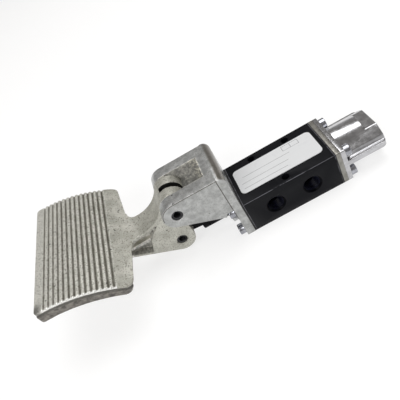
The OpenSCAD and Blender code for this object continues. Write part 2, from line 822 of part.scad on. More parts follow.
module end_cap() {
    color("#c4c3bf") translate([x_cap, 0, axis_z]) difference() {
        union() {
            end_plate(x_cap_flange, x_cap_body, chamber_r);
            x_rod(barrel_r, x_cap_flange, x_cap_end - cap_block_l);
            intersection() {
                rotate([90, 0, 90]) linear_extrude(x_cap_end) cap_section();
                translate([0, 0, -body_h]) linear_extrude(2 * body_h)
                    round_rect([-x_cap_end, -wing_y], [x_cap_end, wing_y], wing_corner);
                translate([x_cap_flange, -body_w, -body_h]) cube([x_cap_end, 2 * body_w, 2 * body_h]);
            }
        }
        x_rod(chamber_r, x_cap_flange - 1, x_chamber_end);
    }
}

// Section of the cap: flat, flank, fold and wing, the same on all four sides
module cap_section() {
    quarter = [[0, block_up], [block_flat, block_up], [fold_y, fold_up], [fold_y + wing_up / 2, wing_up],
        [wing_y, wing_up]];
    right = concat(quarter, [for (i = [4:-1:0]) [quarter[i][0], -quarter[i][1]]]);
    polygon(concat(right, [for (i = [8:-1:1]) [-right[i][0], right[i][1]]]));
}

module cap_screws() {
    color("#d2d4d8") translate([x_cap, 0, axis_z]) at_screws()
        socket_screw(x_cap_body, -1, screw_grip + x_cap_body);
}

module spring_seat() {
    color("#a9abb0") translate([0, 0, axis_z]) difference() {
        union() {
            x_rod(seat_r, seat_x, seat_x + seat_t);
            x_rod(coil_r - wire_d / 2 - side_gap, seat_x, seat_x + seat_t + spigot_h);
        }
        x_rod(seat_screw_r + hole_gap, seat_x - 1, seat_x + seat_t + spigot_h + 1);
    }
}

module seat_screw() {
    x0 = seat_x + seat_t + spigot_h;
    color("#7d7f84") translate([0, 0, axis_z]) difference() {
        union() {
            x_rod(seat_screw_r, seat_x - seat_grip, x0 + eps);
            x_rod(seat_head_r, x0, x0 + seat_head_h);
        }
        translate([x0 + seat_head_h - seat_socket_depth, 0, 0]) rotate([0, 90, 0])
            cylinder(d = seat_socket_w / cos(30), h = seat_socket_depth + 1, $fn = 6);
    }
}

module return_spring() {
    sides = 10;
    steps = 16;
    turns = coil_turns + 2;
    rings = turns * steps;
    points = [for (i = [0:rings])
        each coil_ring(i / steps, coil_x(i / steps, turns, spring_x0, spring_x1), sides)];
    walls = [for (i = [0:rings - 1], k = [0:sides - 1])
        let (a = i * sides + k, b = i * sides + (k + 1) % sides)
        each [[a, b, b + sides], [a, b + sides, a + sides]]];
    ends = [[for (k = [sides - 1:-1:0]) k], [for (k = [0:sides - 1]) rings * sides + k]];
    color("#9a9ca1") translate([0, 0, axis_z]) polyhedron(points, concat(walls, ends));
}

valve_body();
label_plate();
bracket_gasket();
pedal_bracket();
bracket_screws();
stem_guide();
stem_wiper();
pivot_pin();
pedal();
link_pin_roll();
link_bar();
clevis_pin();
spool();
cage_rings();
bore_seals();
cap_gasket();
spacer_plate();
end_cap();
cap_screws();
spring_seat();
seat_screw();
return_spring();
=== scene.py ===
import json
import math
import bmesh
import bpy
import numpy as np
from mathutils import Matrix, Vector

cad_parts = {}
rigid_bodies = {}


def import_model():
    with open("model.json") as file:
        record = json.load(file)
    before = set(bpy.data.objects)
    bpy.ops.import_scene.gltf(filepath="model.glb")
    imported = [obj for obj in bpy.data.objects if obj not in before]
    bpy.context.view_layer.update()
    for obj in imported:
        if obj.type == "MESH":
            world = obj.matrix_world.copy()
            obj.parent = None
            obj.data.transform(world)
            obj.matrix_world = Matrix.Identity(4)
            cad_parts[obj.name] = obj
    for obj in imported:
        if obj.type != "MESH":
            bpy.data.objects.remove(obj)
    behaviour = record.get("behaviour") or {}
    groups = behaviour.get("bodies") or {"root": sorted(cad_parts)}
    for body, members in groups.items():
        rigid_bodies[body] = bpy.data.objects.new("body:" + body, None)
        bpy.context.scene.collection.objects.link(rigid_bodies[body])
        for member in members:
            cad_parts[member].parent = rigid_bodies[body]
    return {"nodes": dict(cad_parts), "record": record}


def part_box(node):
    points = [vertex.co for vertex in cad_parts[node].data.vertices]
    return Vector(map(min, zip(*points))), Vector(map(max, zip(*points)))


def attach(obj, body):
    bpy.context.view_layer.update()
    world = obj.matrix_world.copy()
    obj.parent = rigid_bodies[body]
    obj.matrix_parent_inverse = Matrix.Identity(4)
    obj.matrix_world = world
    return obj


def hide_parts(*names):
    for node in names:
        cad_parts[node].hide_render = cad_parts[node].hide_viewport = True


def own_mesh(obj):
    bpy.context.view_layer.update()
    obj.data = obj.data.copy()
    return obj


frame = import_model()
nodes = frame["nodes"]
bodies = frame["record"]["behaviour"]["bodies"]
bodyOf = {node: body for body, members in bodies.items() for node in members}
slotOf = {sub["node"]: sub["material_slot"] for sub in frame["record"]["subparts"]}
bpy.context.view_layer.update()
mm = 0.001
print("frame loaded:", len(nodes), "solids")

# the tread's crown in the side view, in millimetres: axis, radius and the grooves round it
crown = {"x": -176.0, "z": -33.4, "radius": 94.0, "lead": 1.7, "pitch": 3.61, "count": 14, "depth": 1.0,
         "floor": 0.2, "shoulder": 0.95, "edge": 51.7, "edgeRound": 0.9, "edgePast": 0.3,
         "skinMiddle": 0.4, "skinHalf": 1.1}
# the block in millimetres: half length and width, height, height of its bore, width of its rubbed edges,
# which also carry a painted highlight
block = {"half": (35.0, 22.5), "top": 28.6, "axisZ": 14.3, "rub": 0.55}


# shader maths: a Wire is one socket, and operators on it add Math nodes
class Wire:
    def __init__(self, tree, socket=None):
        self.tree, self.socket = tree, socket

    def node(self, kind, settings=None, inputs=None, out=0):  # settings first, then values or links
        made = self.tree.nodes.new("ShaderNode" + kind)
        for key, value in (settings or {}).items():
            setattr(made, key, value)
        for key, value in (inputs or {}).items():
            if isinstance(value, Wire):
                self.tree.links.new(value.socket, made.inputs[key])
            else:
                made.inputs[key].default_value = value
        return Wire(self.tree, made.outputs[out] if made.outputs else None)

    def math(self, operation, a, b=0.0):
        return self.node("Math", {"operation": operation}, {0: a, 1: b})

    def __add__(self, other):
        return self.math("ADD", self, other)

    def __radd__(self, other):
        return self.math("ADD", other, self)

    def __sub__(self, other):
        return self.math("SUBTRACT", self, other)

    def __rsub__(self, other):
        return self.math("SUBTRACT", other, self)

    def __mul__(self, other):
        return self.math("MULTIPLY", self, other)

    def __rmul__(self, other):
        return self.math("MULTIPLY", other, self)

    def __truediv__(self, other):
        return self.math("DIVIDE", self, other)

    def __lt__(self, other):
        return self.math("LESS_THAN", self, other)

    def __gt__(self, other):
        return self.math("GREATER_THAN", self, other)

    def size(self):
        return self.math("ABSOLUTE", self)

    def most(self, other):
        return self.math("MAXIMUM", self, other)

    def step(self, start, end):  # 0 at start, 1 at end, smooth between, also downwards
        return self.node("MapRange", {"interpolation_type": "SMOOTHSTEP"},
                         {"Value": self, "From Min": start, "From Max": end})

    def blend(self, a, b):  # colour a where this is 0, b where it is 1
        return self.node("Mix", {"data_type": "RGBA"}, {0: self, 6: a, 7: b}, out=2)


def rgb(r, g, b):
    return (r, g, b, 1.0)


def paint(colour, mask, mark):  # a mark is a share and a colour, laid over what is there by the mask
    share, tone = mark
    return (mask * share).blend(colour, rgb(*tone))


class Finish:  # one material: its places, its noises and its surface
    samples = {"hollows": 12, "edges": 6}

    def __init__(self, name):
        self.material = bpy.data.materials.new(name)
        self.material.use_nodes = True
        self.tree = self.material.node_tree
        self.tree.nodes.clear()
        self.wire = Wire(self.tree)
        self.place = self.wire.node("TexCoord", out=3)

    def axes(self):  # x, y and z in millimetres
        scaled = self.wire.node("VectorMath", {"operation": "SCALE"}, {0: self.place, "Scale": 1 / mm})
        split = self.wire.node("SeparateXYZ", inputs={0: scaled}).socket.node
        return [Wire(self.tree, socket) for socket in split.outputs]

    def stretched(self, scale):
        return self.wire.node("Mapping", inputs={"Vector": self.place, "Scale": scale})

    def noise(self, size, detail=3.0, rough=0.55, place=None):  # size is that of a patch, in metres
        return self.wire.node("TexNoise", inputs={"Vector": place or self.place, "Scale": 1 / size,
                                                  "Detail": detail, "Roughness": rough})

    def cells(self, size):
        return self.wire.node("TexVoronoi", inputs={"Vector": self.place, "Scale": 1 / size})

    def hollows(self, reach):  # 1 deep in a corner or groove, 0 in the open
        settings = {"samples": self.samples["hollows"], "only_local": True}
        return 1.0 - self.wire.node("AmbientOcclusion", settings, {"Distance": reach}, out=1)

    def edges(self, width):  # above 0 on an edge, 0 on a flat
        soft = self.wire.node("Bevel", {"samples": self.samples["edges"]}, {"Radius": width})
        true = self.wire.node("NewGeometry", out=1)
        return 1.0 - self.wire.node("VectorMath", {"operation": "DOT_PRODUCT"}, {0: soft, 1: true}, out=1)

    def bump(self, height, depth):
        return self.wire.node("Bump", inputs={"Height": height, "Distance": depth})

    def surface(self, **sockets):
        inputs = {key.replace("_", " "): value for key, value in sockets.items()}
        shader = self.wire.node("BsdfPrincipled", inputs=inputs)
        self.wire.node("OutputMaterial", inputs={"Surface": shader})
        return self.material


# every sand cast skin: ranges of its noises, the pits' mark, and how high or deep each of them is
sand = {"clouds": (0.3, 0.7), "specks": (0.5, 0.68), "pits": (0.13, 0.07), "pitPatch": 2.5,
        "pitted": (0.5, 0.56), "pitMark": (0.85, (0.035, 0.033, 0.03)), "grainHigh": 0.5,
        "speckDeep": 0.3, "pitDeep": 1.6}


def castSkin(f, cast, wearAndPaintedLight=None):  # clouds, worn parts with painted light, dark specks and pits; gives colour and height
    clouds = f.noise(cast["cloud"], 4.0).step(*sand["clouds"])
    specks = f.noise(cast["speck"], 3.0, 0.6).step(*sand["specks"])
    grain = f.noise(cast["grain"], 2.0)
    pitted = f.noise(cast["pitPitch"] * sand["pitPatch"], 1.0).step(*sand["pitted"])
    pits = f.cells(cast["pitPitch"]).step(*sand["pits"]) * pitted
    colour = clouds.blend(rgb(*cast["dark"]), rgb(*cast["light"]))
    if wearAndPaintedLight:
        colour = wearAndPaintedLight.blend(colour, rgb(*cast["wearAndLightColour"]))
    colour = paint(colour, specks, cast["specks"])
    colour = paint(colour, pits, sand["pitMark"])
    return colour, grain * sand["grainHigh"] - specks * sand["speckDeep"] - pits * sand["pitDeep"]


# lines of the pedal that its colours follow, and depths below its crown, in millimetres
pedalLines = {"pivotX": -75.9, "pivotZ": 49.0, "tilt": math.radians(17.58), "slotHalf": 2.4,
              "slotBack": 7.3, "cheekX": -95.0, "neckZ": 38.6, "ribHalf": 8.2, "ribZ": 30.6, "ribTop": 0.7,
              "pocketHalf": 10.6, "heelX": -91.0, "heelZ": 7.1, "bellyRise": 0.51, "bellyRim": 1.6,
              "farX": -181.6, "leverHalf": 13.0, "paintedLightX": -128.0, "stainX": -174.0, "stainY": -42.0,
              "stainFade": 6.0, "topDepth": 1.7, "lipDepth": (1.6, 1.0), "shadedCoveDepth": (1.2, 1.9),
              "shadedRimDepth": (3.0, 3.7), "underDepth": (4.2, 4.8), "underX": -121.0,
              "lipAcross": (crown["edge"] - 1.8, crown["edge"] - 0.7), "underHalf": crown["edge"] - 1.0,
              "underFar": 1.5}


# tread casting: dirt in the grooves, worn lips at their ends, wear and painted light on rib tops and the
# far part, painted shade in the cove, on the rim and in the slot, painted light in the pockets and
# underneath
def castPedal(name, cast):
    f = Finish(name)
    x, y, z = f.axes()
    p = pedalLines
    across, along, up = y.size(), x - crown["x"], z - crown["z"]
    depth = crown["radius"] - f.wire.math("SQRT", along * along + up * up)
    phase = (f.wire.math("ARCTAN2", along, up) * crown["radius"] - crown["lead"]) / crown["pitch"]
    off = f.wire.math("PINGPONG", phase, 0.5)  # 0 in the middle of a groove, 0.5 between two
    top = depth < p["topDepth"]
    ribbed = (phase > -0.5) * (phase < crown["count"] - 0.5) * top
    patchy = f.noise(cast["patch"], 4.0, 0.7)
    mottle = f.noise(cast["mottle"], 5.0, 0.7)
    groove = off.step(0.25, 0.08) * ribbed * (0.55 + 0.45 * patchy.step(0.3, 0.6))
    lip = across.step(*p["lipAcross"]) * depth.step(*p["lipDepth"]) * off.step(0.5, 0.34) * ribbed
    ridge = off.step(0.3, 0.44) * ribbed * patchy.step(0.2, 0.5)
    # wear and painted light: the far part of the tread, which faces away from the light, and the rib tops
    # are painted lighter
    wearAndPaintedLight = (x.step(p["paintedLightX"], p["farX"]) * cast["farPaintedLight"]).most(ridge * cast["ridgeWearAndLight"]) * top
    side = across.step(p["leverHalf"] - 1, p["leverHalf"]).most(x.step(p["farX"], p["farX"] - 0.5))
    # painted shade: a dark band on the side faces just under the deck's edge
    shadedCove = side * depth.step(*p["shadedCoveDepth"])
    # painted shade: the rim below it is painted dark
    shadedRim = side * depth.step(*p["shadedRimDepth"])
    tilted = (x - p["pivotX"]) * math.cos(p["tilt"]) - (z - p["pivotZ"]) * math.sin(p["tilt"])
    # painted shade: the deep slot in the hub is painted near black
    slot = (across < p["slotHalf"]) * (tilted > -p["slotBack"])
    overRim = z + p["bellyRise"] * (x - p["heelX"]) - p["heelZ"]
    pocket = (across < p["pocketHalf"]) * (x < p["cheekX"]) * z.step(p["neckZ"], p["neckZ"] - 1)
    pocket = pocket * (overRim > p["bellyRim"])
    ribTop = ((z - p["ribZ"]).size() < p["ribTop"]) * (across < p["ribHalf"])
    under = depth.step(*p["underDepth"]) * (x < p["underX"]) * (across < p["underHalf"])
    under = under * (x > p["farX"] + p["underFar"])
    corner = x.step(p["stainX"], p["stainX"] - p["stainFade"])
    corner = corner * y.step(p["stainY"], p["stainY"] - p["stainFade"]) * patchy.step(0.25, 0.5)
    stain = f.noise(cast["blot"], 4.0, 0.65).step(0.66, 0.72).most(corner)
    # dirt and painted shade: darker in the hollows, from occlusion
    grimeAndShade = (f.hollows(cast["grimeAndShadeReach"]) * 1.3).step(0.25, 0.95)
    # the painted shade on the rim, dark with patches
    shadedRimTone = patchy.step(0.35, 0.65).blend(rgb(*cast["shadedRimDark"]), rgb(*cast["shadedRimLight"]))
    # painted light: the pockets and the underside get a lighter mottled tone against the shade there
    litPocketTone = mottle.step(0.36, 0.66).blend(rgb(*cast["litPocketDark"]), rgb(*cast["litPocketLight"]))
    colour, height = castSkin(f, cast, wearAndPaintedLight)
    for mask, mark in ((stain, "stain"), (grimeAndShade, "grimeAndShade"), (groove, "groove"), (lip, "lip")):
        colour = paint(colour, mask, cast[mark])
    colour = (shadedCove * (0.7 + 0.3 * mottle)).blend(colour, rgb(*cast["shadedCoveColour"]))
    colour = (shadedRim * (0.75 + 0.25 * mottle)).blend(colour, shadedRimTone)
    colour = (pocket.most(under) * cast["litPocketShare"]).blend(colour, litPocketTone)
    colour = paint(colour, pocket * ribTop, cast["rib"])
    # painted shade: near black in the slot
    colour = paint(colour, slot, cast["slot"])
    return f.surface(Base_Color=colour, Metallic=cast["metal"] - 0.3 * groove.most(shadedCove),
                     Roughness=cast["rough"] + 0.25 * groove - 0.15 * lip,
                     Normal=f.bump(height + pocket * mottle * cast["pocketRelief"], cast["bump"]))


# lines of the fork that its colours follow, in millimetres
forkLines = {"windowHalf": 11.7, "windowX": -47.6, "creamX": -56.0, "creamFade": 5.0, "crestX": -41.5,
             "crestFade": 2.0, "crestZ": 55.5, "chipX": -44.5, "frontY": 21.2, "pivotX": -75.9,
             "pivotZ": 49.0, "armRadius": 10.4, "flangeX": -42.2, "seamDrop": 30.0}


# fork casting: worn edges with a painted highlight, painted shade on the arms' side faces and in a line
# below the top and along the flange, rough window walls partly in painted shade, brown crest
def castBracket(name, cast):
    f = Finish(name)
    x, y, z = f.axes()
    p = forkLines
    mottle = f.noise(cast["mottle"], 5.0, 0.75)
    patchy = f.noise(cast["patch"], 3.0, 0.6)
    inside = (y.size() < p["windowHalf"]) * x.step(p["windowX"], p["windowX"] - 0.6)
    # painted shade: the arms' side faces are painted darker
    frontShade = y.size().step(p["frontY"], p["frontY"] + 0.5)
    past, rise = f.wire.math("MINIMUM", x - p["pivotX"], 0.0), z - p["pivotZ"]
    below = p["armRadius"] - f.wire.math("SQRT", past * past + rise * rise)  # depth in the arm's outline
    # painted shade: a dark line just under the arms' top edge and along the flange
    shadeLine = (rise > 0.0) * (x < p["crestX"]) * below.step(0.15, 0.4) * below.step(1.1, 0.8)
    shadeLine = frontShade * shadeLine.most((x - p["flangeX"]).size().step(0.5, 0.25) * (rise > -p["seamDrop"]))
    crest = x.step(p["crestX"], p["crestX"] + p["crestFade"]) * (rise > 0.0) * (1.0 - frontShade)
    crest = crest * patchy.step(0.15, 0.45)
    chips = mottle.step(0.58, 0.66) * (x - p["chipX"]).size().step(2.5, 1.5) * (z > p["crestZ"])
    cream = inside * x.step(p["creamX"], p["creamX"] + p["creamFade"]) * mottle.step(0.44, 0.56)
    # worn edges with a painted highlight along them; chips near the crest are wear
    wearAndPaintedLight = (f.edges(cast["edge"]) * 5.0).step(0.1, 0.9)
    # dirt and painted shade: darker in the hollows, from occlusion
    grimeAndShade = (f.hollows(cast["grimeAndShadeReach"]) * 1.2).step(0.25, 0.95)
    # the window's inner walls: rough cast, in a darker mottled tone that is partly painted shade
    shadedWallTone = mottle.step(0.4, 0.66).blend(rgb(*cast["wallDark"]), rgb(*cast["wallLight"]))
    colour, height = castSkin(f, cast)
    for mask, mark in ((frontShade, "frontShade"), (crest, "crest"), (wearAndPaintedLight.most(chips), "wearAndPaintedLight"), (grimeAndShade, "grimeAndShade")):
        colour = paint(colour, mask, cast[mark])
    colour = (inside * cast["wallShare"]).blend(colour, shadedWallTone)
    colour = paint(colour, cream, cast["cream"])
    colour = paint(colour, shadeLine, cast["shadeLine"])
    return f.surface(Base_Color=colour, Metallic=cast["metal"] - 0.4 * inside,
                     Roughness=cast["rough"] + 0.2 * inside,
                     Normal=f.bump(height + inside * mottle * cast["wallRelief"], cast["bump"]))


def castBright(name, cast):  # tumbled die casting: soft gloss, clouds, brown dirt and painted shade in the corners, worn edges with a painted highlight
    f = Finish(name)
    clouds = f.noise(cast["cloud"], 5.0).step(0.32, 0.68)
    streaks = f.noise(cast["streak"], 4.0, place=f.stretched(cast["stretch"])).step(0.35, 0.7)
    fine = f.noise(cast["fine"], 3.0)
    # worn edges with a painted highlight along them
    wearAndPaintedLight = (f.edges(cast["edge"]) * 5.0).step(0.1, 0.9)
    # dirt and painted shade: brown in the hollows, from occlusion
    grimeAndShade = (f.hollows(cast["grimeAndShadeReach"]) * 1.4).step(0.2, 0.85)
    colour = (clouds * 0.6 + streaks * 0.4).blend(rgb(*cast["dark"]), rgb(*cast["light"]))
    colour = paint(colour, wearAndPaintedLight, cast["wearAndPaintedLight"])
    colour = paint(colour, grimeAndShade, cast["grimeAndShade"])
    rough = cast["rough"] + 0.06 * clouds + 0.03 * fine
    return f.surface(Base_Color=colour, Metallic=1.0, Roughness=rough,
                     Normal=f.bump(fine + streaks, cast["bump"]))


def anodised(name, coat):  # black anodised block: fine lines of the cutter, dust, paler rubbed edges with a painted highlight
    f = Finish(name)
    x, y, z = f.axes()
    cutter = f.noise(coat["cutter"], 2.0, place=f.stretched(coat["stretch"]))
    dust = f.noise(coat["dustPatch"], 5.0).step(0.45, 0.8)
    specks = f.noise(coat["speck"], 2.0).step(0.68, 0.76)
    middle = block["top"] / 2
    ends = [block["half"][0] - x.size(), block["half"][1] - y.size(), middle - (z - middle).size()]
    # rubbed edges with a painted highlight
    near = [end.step(block["rub"], 0.5 * block["rub"]) for end in ends]
    rubbedAndHighlit = (near[0] * near[1]).most(near[0] * near[2]).most(near[1] * near[2])
    rubbedAndHighlit = rubbedAndHighlit * f.noise(coat["rubPatch"], 3.0).step(0.3, 0.55)
    colour = paint(rgb(*coat["black"]), dust, coat["dust"])
    colour = paint(colour, specks, coat["specks"])
    colour = paint(colour, rubbedAndHighlit, coat["rubbedAndHighlit"])
    return f.surface(Base_Color=colour, Metallic=0.0, Roughness=coat["rough"] + 0.1 * dust + 0.06 * cutter,
                     Specular_IOR_Level=coat["gloss"], Normal=f.bump(cutter, coat["bump"]))


def shadeInside(name, shadeTone):  # painted shade: near black inside an opening, lighter in patches
    f = Finish(name)
    shadePatch = f.noise(shadeTone["patch"], 3.0).step(0.35, 0.7)
    colour = shadePatch.blend(rgb(*shadeTone["tone"]), rgb(*[shadeTone["lift"] * c for c in shadeTone["tone"]]))
    return f.surface(Base_Color=colour, Metallic=0.0, Roughness=shadeTone["rough"] + 0.14 * shadePatch,
                     Specular_IOR_Level=shadeTone["gloss"])


def plated(name, coat):  # plated or oiled steel: brushed along one axis, with blotches, dirt and painted shade in the hollows
    f = Finish(name)
    lines = f.noise(coat["line"], 3.0, place=f.stretched(coat["stretch"]))
    blotch = f.noise(coat["blotch"], 4.0).step(0.35, 0.7)
    # dirt and painted shade: darker in the hollows, from occlusion
    grimeAndShade = (f.hollows(coat["grimeAndShadeReach"]) * 1.2).step(0.25, 0.95)
    colour = blotch.blend(rgb(*coat["dark"]), rgb(*coat["light"]))
    colour = (grimeAndShade * coat["grimeAndShade"]).blend(colour, rgb(*coat["grimeAndShadeColour"]))
    rough = coat["rough"] + 0.1 * blotch + 0.1 * lines
    return f.surface(Base_Color=colour, Metallic=coat["metal"], Roughness=rough,
                     Specular_IOR_Level=coat["gloss"], Normal=f.bump(lines, coat["bump"]))


def rubberBlack(name, sheet):  # matt sheet rubber with a fine grain and grey dust
    f = Finish(name)
    grain = f.noise(sheet["grain"], 3.0)
    dust = f.noise(sheet["dustPatch"], 4.0).step(0.45, 0.75)
    colour = paint(rgb(*sheet["black"]), dust, sheet["dust"])
    return f.surface(Base_Color=colour, Metallic=0.0, Roughness=sheet["rough"] + 0.15 * grain,
                     Normal=f.bump(grain, sheet["bump"]))


# thin grey rules (across, start, end) and empty boxes (middle, half sizes) on the label, in millimetres
labelPrint = {"rules": [(-3.5, -28.5, 8.5), (-8.8, -28.5, 6.0), (2.8, -26.2, 12.0)], "ruleHalf": 0.16,
              "boxes": [(11.8, 9.2, 3.2, 2.4), (18.2, 9.2, 3.2, 2.4)]}


def labelFace(name, pale):  # satin label: faint brushing, thin grey rules, two empty boxes, scuffs
    f = Finish(name)
    x, y, _ = f.axes()
    ink = 0.0
    for across, start, end in labelPrint["rules"]:
        ink = ((y - across).size() < labelPrint["ruleHalf"]) * (x > start) * (x < end) + ink
    for middleX, middleY, halfX, halfY in labelPrint["boxes"]:
        gap = ((x - middleX).size() - halfX).most((y - middleY).size() - halfY)
        ink = (gap.size() < labelPrint["ruleHalf"]) + ink
    brush = f.noise(pale["brush"], 3.0, place=f.stretched(pale["stretch"]))
    scuff = f.noise(pale["scuff"], 5.0).step(0.55, 0.8)
    colour = (brush * 0.5 + scuff * 0.5).blend(rgb(*pale["light"]), rgb(*pale["dark"]))
    colour = paint(colour, ink.step(0.0, 1.0), pale["ink"])
    return f.surface(Base_Color=colour, Metallic=0.0, Roughness=pale["rough"] + 0.15 * brush + 0.1 * scuff,
                     Normal=f.bump(brush, pale["bump"]))


# sizes of patches and reaches in metres, then colours, then marks as share and colour
pedalSkin = {"cloud": 0.009, "speck": 0.0011, "grain": 0.0005, "pitPitch": 0.006, "patch": 0.004,
             "mottle": 0.0024, "blot": 0.009, "grimeAndShadeReach": 0.003, "bump": 0.0003,
             "dark": (0.385, 0.381, 0.336), "light": (0.55, 0.546, 0.494), "wearAndLightColour": (0.8, 0.79, 0.74),
             "shadedRimDark": (0.07, 0.063, 0.055), "shadedRimLight": (0.23, 0.215, 0.19),
             "litPocketDark": (0.34, 0.335, 0.315), "litPocketLight": (0.85, 0.84, 0.79),
             "shadedCoveColour": (0.05, 0.045, 0.04), "specks": (0.82, (0.15, 0.14, 0.115)),
             "stain": (0.8, (0.1, 0.098, 0.088)), "grimeAndShade": (0.75, (0.1, 0.092, 0.08)),
             "groove": (0.85, (0.085, 0.075, 0.055)), "lip": (0.9, (0.9, 0.9, 0.88)),
             "rib": (0.8, (0.62, 0.6, 0.53)), "slot": (0.97, (0.008, 0.008, 0.008)),
             "litPocketShare": 0.9, "pocketRelief": 1.6, "farPaintedLight": 0.6, "ridgeWearAndLight": 0.4,
             "rough": 0.46, "metal": 0.6}
bracketSkin = {"cloud": 0.004, "speck": 0.0011, "grain": 0.0006, "pitPitch": 0.007, "patch": 0.006,
               "mottle": 0.0024, "grimeAndShadeReach": 0.004, "edge": 0.0008, "bump": 0.00007,
               "dark": (0.4, 0.408, 0.407), "light": (0.63, 0.639, 0.637),
               "wallDark": (0.25, 0.245, 0.23), "wallLight": (0.68, 0.665, 0.61),
               "specks": (0.5, (0.24, 0.235, 0.215)), "frontShade": (0.36, (0.2, 0.2, 0.185)),
               "crest": (0.8, (0.15, 0.13, 0.105)), "wearAndPaintedLight": (0.6, (0.82, 0.81, 0.78)),
               "grimeAndShade": (0.75, (0.09, 0.08, 0.07)), "cream": (0.8, (0.82, 0.79, 0.68)),
               "shadeLine": (0.8, (0.09, 0.08, 0.07)), "wallShare": 0.9, "wallRelief": 2.0,
               "rough": 0.34, "metal": 0.9}
plateSkin = {**bracketSkin, "dark": (0.22, 0.21, 0.19), "light": (0.38, 0.37, 0.34)}
capSkin = {"cloud": 0.004, "streak": 0.0012, "stretch": (0.12, 1.0, 1.0), "fine": 0.0007, "edge": 0.0007,
           "grimeAndShadeReach": 0.0025, "bump": 0.000008, "dark": (0.4, 0.4, 0.413), "light": (0.57, 0.57, 0.586),
           "wearAndPaintedLight": (0.5, (0.75, 0.75, 0.75)), "grimeAndShade": (0.6, (0.08, 0.066, 0.054)), "rough": 0.16}
blockCoat = {"cutter": 0.0006, "stretch": (0.04, 1.0, 1.0), "dustPatch": 0.012, "speck": 0.0008,
             "rubPatch": 0.005, "bump": 0.00002, "black": (0.0035, 0.0038, 0.0055),
             "dust": (0.3, (0.01, 0.0102, 0.0125)), "specks": (0.2, (0.08, 0.08, 0.09)),
             "rubbedAndHighlit": (0.75, (0.2, 0.2, 0.225)), "rough": 0.36, "gloss": 0.1}
labelPaper = {"brush": 0.0005, "stretch": (0.03, 1.0, 1.0), "scuff": 0.006, "bump": 0.00001,
              "light": (0.68, 0.69, 0.7), "dark": (0.56, 0.57, 0.59), "ink": (0.8, (0.12, 0.12, 0.13)),
              "rough": 0.34}
rubberSheet = {"grain": 0.0005, "dustPatch": 0.005, "bump": 0.00008, "black": (0.011, 0.011, 0.012),
               "dust": (0.5, (0.05, 0.049, 0.047)), "rough": 0.62}
steel = {"line": 0.0005, "stretch": (1.0, 1.0, 1.0), "blotch": 0.004, "grimeAndShadeReach": 0.0015,
         "bump": 0.00002, "grimeAndShade": 0.5, "grimeAndShadeColour": (0.05, 0.045, 0.04), "metal": 1.0, "gloss": 0.5}
zincCoat = {**steel, "dark": (0.3, 0.305, 0.33), "light": (0.46, 0.47, 0.51), "grimeAndShade": 0.75, "rough": 0.1,
            "bump": 0.000005}
pinCoat = {**steel, "stretch": (1.0, 0.1, 1.0), "dark": (0.015, 0.015, 0.016), "light": (0.07, 0.07, 0.075),
           "grimeAndShade": 0.8, "rough": 0.3, "metal": 0.6, "gloss": 0.2}
oxideCoat = {**steel, "stretch": (0.1, 1.0, 1.0), "dark": (0.005, 0.005, 0.006),
             "light": (0.008, 0.008, 0.01), "rough": 0.36, "metal": 0.0, "gloss": 0.05}
bronzeCoat = {**steel, "stretch": (0.1, 1.0, 1.0), "dark": (0.36, 0.24, 0.11), "light": (0.6, 0.45, 0.23),
              "rough": 0.36}
cageCoat = {**steel, "stretch": (3.0, 0.3, 0.3), "dark": (0.5, 0.47, 0.38), "light": (0.7, 0.67, 0.56),
            "rough": 0.28}
springCoat = {**steel, "dark": (0.3, 0.3, 0.31), "light": (0.55, 0.55, 0.57), "rough": 0.26}
openingShadeTone = {"patch": 0.003, "tone": (0.0012, 0.0013, 0.002), "lift": 2.2, "rough": 0.24, "gloss": 0.03}
threadShadeTone = {**openingShadeTone, "tone": (0.002, 0.0023, 0.006), "gloss": 0.05}
finishes = {
    "cast_grey": castBracket("castGrey", bracketSkin),
    "cast_bright": castBright("castBright", capSkin),
    "anodised_black": anodised("anodisedBlack", blockCoat),
    "label_face": labelFace("labelFace", labelPaper),
    "gasket_black": rubberBlack("gasketBlack", rubberSheet),
    "zinc_steel": plated("zincSteel", zincCoat),
    "pin_steel": plated("pinSteel", pinCoat),
    "oxide_steel": plated("oxideSteel", oxideCoat),
    "bronze": plated("bronze", bronzeCoat),
    "cage_metal": plated("cageMetal", cageCoat),
    "spring_steel": plated("springSteel", springCoat),
}
# solids that look unlike the others in their slot
ownFinish = {"pedal": castPedal("castPedal", pedalSkin),
             "spacer_plate": castBracket("castPlate", plateSkin),
             "clevis_pin": finishes["oxide_steel"]}
openingShade = shadeInside("openingShade", openingShadeTone)
threadShade = shadeInside("threadShade", threadShadeTone)


def finishOf(node):
    return ownFinish.get(node, finishes[slotOf[node]])


for name, ob in nodes.items():
    ob.data.materials.clear()
    ob.data.materials.append(finishOf(name))
print("finishes:", len(finishes) + len(ownFinish))


# pieces that take the place of solids
def addPiece(name, mesh, node, replaced=True):
    piece = bpy.data.objects.new(name, mesh)
    bpy.context.scene.collection.objects.link(piece)
    mesh.materials.clear()
    mesh.materials.append(finishOf(node))
    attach(piece, bodyOf[node])
    if replaced:
        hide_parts(node)
    return piece


# how near points are joined, in metres, and the angles that tell flats, bevelled and sharp edges apart
meshing = {"weldSolid": 1e-6, "weldGrid": 1e-7, "flat": math.radians(0.4), "bevelled": math.radians(28),
           "sharp": math.radians(35)}


def mergedCopy(node):  # the solid's triangles joined into one closed mesh
    mesh = nodes[node].data.copy()
    work = bmesh.new()
    work.from_mesh(mesh)
    bmesh.ops.remove_doubles(work, verts=work.verts, dist=meshing["weldSolid"])
    return mesh, work


def settle(mesh, steps):  # runs modifiers on a mesh and gives the finished mesh
    ob = bpy.data.objects.new("work", mesh)
    bpy.context.scene.collection.objects.link(ob)
    for kind, settings in steps:
        modifier = ob.modifiers.new(kind, kind)
        for key, value in settings.items():
            setattr(modifier, key, value)
    shown = ob.evaluated_get(bpy.context.evaluated_depsgraph_get())
    done = bpy.data.meshes.new_from_object(shown)
    bpy.data.objects.remove(ob)
    return done


